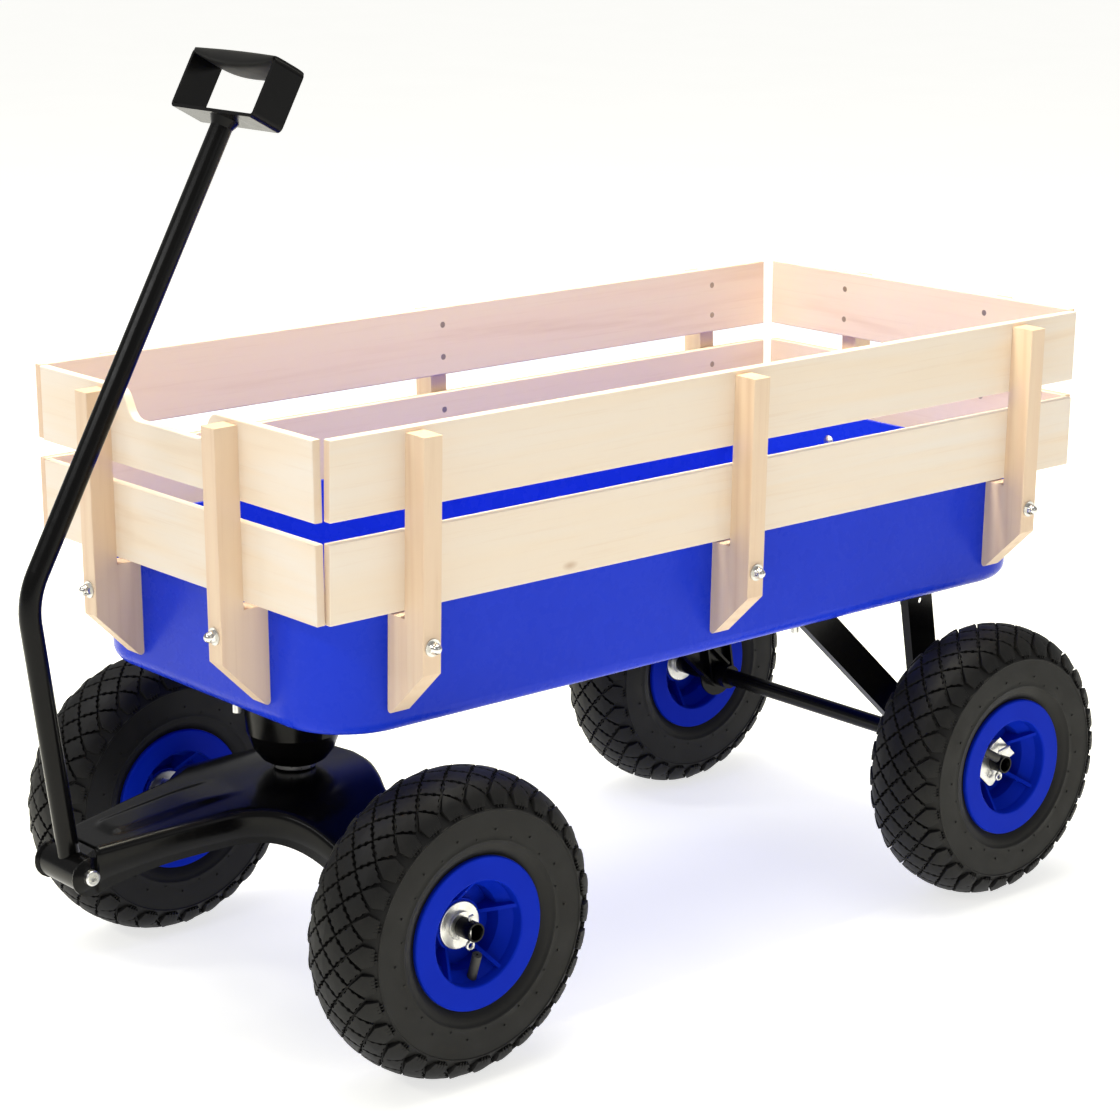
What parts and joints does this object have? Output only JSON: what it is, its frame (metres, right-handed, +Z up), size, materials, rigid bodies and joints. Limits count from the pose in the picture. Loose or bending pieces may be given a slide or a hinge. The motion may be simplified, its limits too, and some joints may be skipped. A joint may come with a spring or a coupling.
{
  "type": "wagon with pull handle",
  "caption": "Toy wagon with a pressed steel tray, slatted wooden sides, a steering front bogie with a pull handle, and pneumatic wheels.",
  "frame": {"origin": "on the floor, under the middle of the whole wagon's box", "axes": "+Z up, -Y the way the wagon is pulled, +X the wagon's own left side, along the wheel axles"},
  "size_m": [0.5264, 1.1015, 0.8485],
  "materials": {
    "board_wood": "clear satin lacquer over pale softwood",
    "post_wood": "clear satin lacquer over pale softwood",
    "tray_paint": "gloss cobalt blue paint",
    "rim_plastic": "gloss cobalt blue",
    "black_paint": "gloss black powder coat",
    "grip_plastic": "satin moulded black",
    "zinc": "bright zinc plate",
    "nickel": "polished nickel plate",
    "tyre": "black rubber",
    "tube_rubber": "dull black rubber"
  },
  "bodies": {
    "chassis": {"tray": "tray_paint", "board_left_upper": "board_wood", "board_left_lower": "board_wood", "board_right_upper": "board_wood", "board_right_lower": "board_wood", "board_front_upper": "board_wood", "board_front_lower": "board_wood", "board_rear_upper": "board_wood", "board_rear_lower": "board_wood", "post_left_front": "post_wood", "post_left_middle": "post_wood", "post_left_rear": "post_wood", "post_right_front": "post_wood", "post_right_middle": "post_wood", "post_right_rear": "post_wood", "post_front_left": "post_wood", "post_front_right": "post_wood", "post_rear_left": "post_wood", "post_rear_right": "post_wood", "carriage_bolts": "zinc", "post_washers": "zinc", "acorn_nuts": "nickel", "board_screws": "zinc", "bolster": "black_paint", "floor_bolts": "zinc", "floor_nuts": "zinc", "rear_bracket_left": "black_paint", "rear_bracket_right": "black_paint", "rear_axle": "black_paint", "kingpin": "zinc", "kingpin_nut": "zinc", "thrust_washer": "zinc", "rear_washers": "zinc", "rear_cotter_pins": "zinc"},
    "bogie": {"bogie_frame": "black_paint", "front_axle_stubs": "black_paint", "front_washers": "zinc", "front_cotter_pins": "zinc", "pivot_bolt": "zinc", "pivot_nut": "zinc"},
    "handle": {"handle_tube": "black_paint", "pivot_barrel": "black_paint", "grip_loop": "black_paint", "grip_cover": "grip_plastic"},
    "wheel_front_left": {"tyre_front_left": "tyre", "inner_tube_front_left": "tube_rubber", "rim_front_left": "rim_plastic", "bearings_front_left": "zinc"},
    "wheel_front_right": {"tyre_front_right": "tyre", "inner_tube_front_right": "tube_rubber", "rim_front_right": "rim_plastic", "bearings_front_right": "zinc"},
    "wheel_rear_left": {"tyre_rear_left": "tyre", "inner_tube_rear_left": "tube_rubber", "rim_rear_left": "rim_plastic", "bearings_rear_left": "zinc"},
    "wheel_rear_right": {"tyre_rear_right": "tyre", "inner_tube_rear_right": "tube_rubber", "rim_rear_right": "rim_plastic", "bearings_rear_right": "zinc"}
  },
  "joints": [
    {"name": "steering", "type": "hinge", "parent": "chassis", "child": "bogie", "pos_m": [0, -0.2792, 0.203], "axis": [0, 0, 1], "range_deg": [-28, 28]},
    {"name": "handle_pivot", "type": "hinge", "parent": "bogie", "child": "handle", "pos_m": [0, -0.5122, 0.175], "axis": [1, 0, 0], "range_deg": [0, 119]},
    {"name": "front_left_spin", "type": "hinge", "parent": "bogie", "child": "wheel_front_left", "pos_m": [0.221, -0.2792, 0.134], "axis": [1, 0, 0], "continuous": true},
    {"name": "front_right_spin", "type": "hinge", "parent": "bogie", "child": "wheel_front_right", "pos_m": [-0.221, -0.2792, 0.134], "axis": [1, 0, 0], "continuous": true},
    {"name": "rear_left_spin", "type": "hinge", "parent": "chassis", "child": "wheel_rear_left", "pos_m": [0.221, 0.3888, 0.134], "axis": [1, 0, 0], "continuous": true},
    {"name": "rear_right_spin", "type": "hinge", "parent": "chassis", "child": "wheel_rear_right", "pos_m": [-0.221, 0.3888, 0.134], "axis": [1, 0, 0], "continuous": true}
  ]
}
